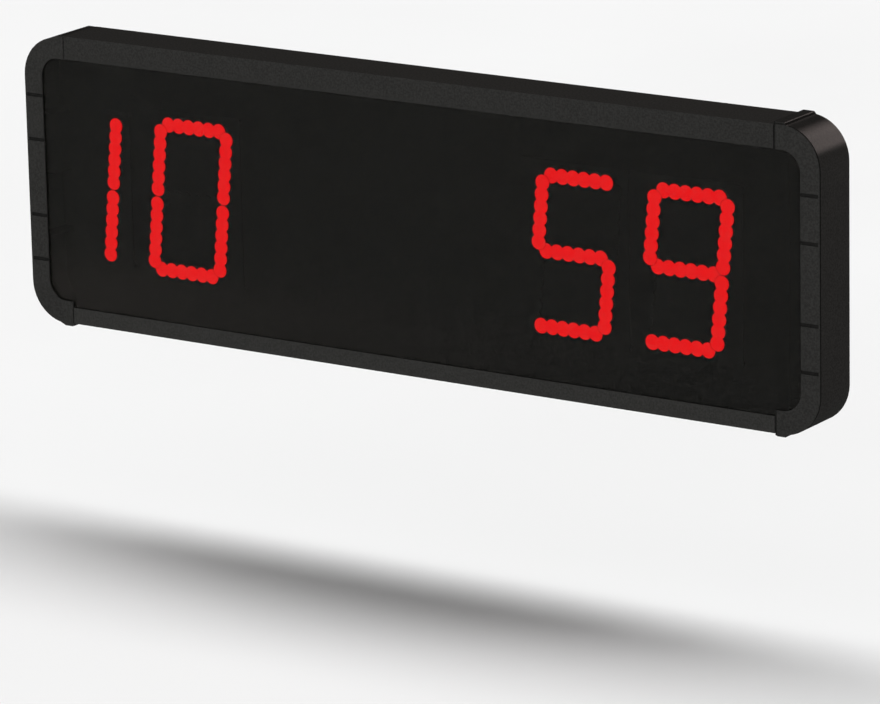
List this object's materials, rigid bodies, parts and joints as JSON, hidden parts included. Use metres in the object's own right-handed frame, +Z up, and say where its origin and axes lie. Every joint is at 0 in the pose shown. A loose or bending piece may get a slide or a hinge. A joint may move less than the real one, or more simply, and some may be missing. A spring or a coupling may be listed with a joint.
{
  "type": "wall-hung scoreboard",
  "caption": "Long black wall-hung case with rounded end caps, a smoked window and large lit red dot figures for showing a score.",
  "frame": {"origin": "on the wall plane (the outer face of the rear panel), midway along the case and midway up the rails", "axes": "+X along the case to the viewer's right, +Y into the wall, +Z up; the figures face -Y"},
  "size_m": [1.206, 0.0735, 0.397],
  "materials": {
    "rail_coat": "matte",
    "cap_coat": "matte",
    "smoked_window": "satin",
    "gasket_rubber": "matte",
    "panel_coat": "matte",
    "chassis_black": "matte",
    "zinc_steel": "satin",
    "supply_cage": "satin",
    "lit_dots": "satin",
    "unlit_dots": "satin",
    "figure_board": "matte",
    "control_laminate": "satin",
    "black_plastic": "satin",
    "rocker_plastic": "satin",
    "button_plastic": "satin",
    "fuse_glass": "gloss"
  },
  "bodies": {
    "case": {"top_rail": "rail_coat", "bottom_rail": "rail_coat", "left_end_cap": "cap_coat", "right_end_cap": "cap_coat", "front_window": "smoked_window", "top_window_gasket": "gasket_rubber", "bottom_window_gasket": "gasket_rubber", "rear_panel": "panel_coat", "chassis_plate": "chassis_black", "digit_1_board": "figure_board", "digit_1_segment_b": "lit_dots", "digit_1_segment_c": "lit_dots", "digit_2_board": "figure_board", "digit_2_segment_a": "lit_dots", "digit_2_segment_b": "lit_dots", "digit_2_segment_c": "lit_dots", "digit_2_segment_d": "lit_dots", "digit_2_segment_e": "lit_dots", "digit_2_segment_f": "lit_dots", "digit_2_segment_g": "unlit_dots", "digit_3_board": "figure_board", "digit_3_segment_a": "lit_dots", "digit_3_segment_b": "unlit_dots", "digit_3_segment_c": "lit_dots", "digit_3_segment_d": "lit_dots", "digit_3_segment_e": "unlit_dots", "digit_3_segment_f": "lit_dots", "digit_3_segment_g": "lit_dots", "digit_4_board": "figure_board", "digit_4_segment_a": "lit_dots", "digit_4_segment_b": "lit_dots", "digit_4_segment_c": "lit_dots", "digit_4_segment_d": "lit_dots", "digit_4_segment_e": "unlit_dots", "digit_4_segment_f": "lit_dots", "digit_4_segment_g": "lit_dots", "power_supply": "supply_cage", "control_board": "control_laminate", "connector_plate": "zinc_steel", "mains_inlet": "black_plastic", "mains_switch": "black_plastic", "setup_switches": "black_plastic", "data_socket": "black_plastic", "left_cap_screw_top": "zinc_steel", "left_cap_screw_bottom": "zinc_steel", "right_cap_screw_top": "zinc_steel", "right_cap_screw_bottom": "zinc_steel", "panel_screw_top_1": "zinc_steel", "panel_screw_top_2": "zinc_steel", "panel_screw_top_3": "zinc_steel", "panel_screw_bottom_1": "zinc_steel", "panel_screw_bottom_2": "zinc_steel", "panel_screw_bottom_3": "zinc_steel"},
    "rocker": {"mains_rocker": "rocker_plastic"},
    "button_left": {"setup_button_left": "button_plastic"},
    "button_right": {"setup_button_right": "button_plastic"},
    "drawer": {"fuse_drawer": "black_plastic", "fuse": "fuse_glass"},
    "hanger_left": {"left_hanger": "zinc_steel"},
    "hanger_right": {"right_hanger": "zinc_steel"}
  },
  "joints": [
    {"name": "rocker_tip", "type": "hinge", "parent": "case", "child": "rocker", "pos_m": [0.425, -0.0264, -0.1921], "axis": [0, 1, 0], "range_deg": [-16, 0]},
    {"name": "button_left_press", "type": "slide", "parent": "case", "child": "button_left", "axis": [0, 0, 1], "range_m": [0, 0.0015], "stiffness_N_per_m": 400, "springref_m": -0.0015},
    {"name": "button_right_press", "type": "slide", "parent": "case", "child": "button_right", "axis": [0, 0, 1], "range_m": [0, 0.0015], "stiffness_N_per_m": 400, "springref_m": -0.0015},
    {"name": "drawer_slide", "type": "slide", "parent": "case", "child": "drawer", "axis": [0, 0, -1], "range_m": [0, 0.012]},
    {"name": "hanger_left_slide", "type": "slide", "parent": "case", "child": "hanger_left", "axis": [1, 0, 0], "range_m": [-0.1, 0.1]},
    {"name": "hanger_right_slide", "type": "slide", "parent": "case", "child": "hanger_right", "axis": [1, 0, 0], "range_m": [-0.1, 0.1]}
  ]
}
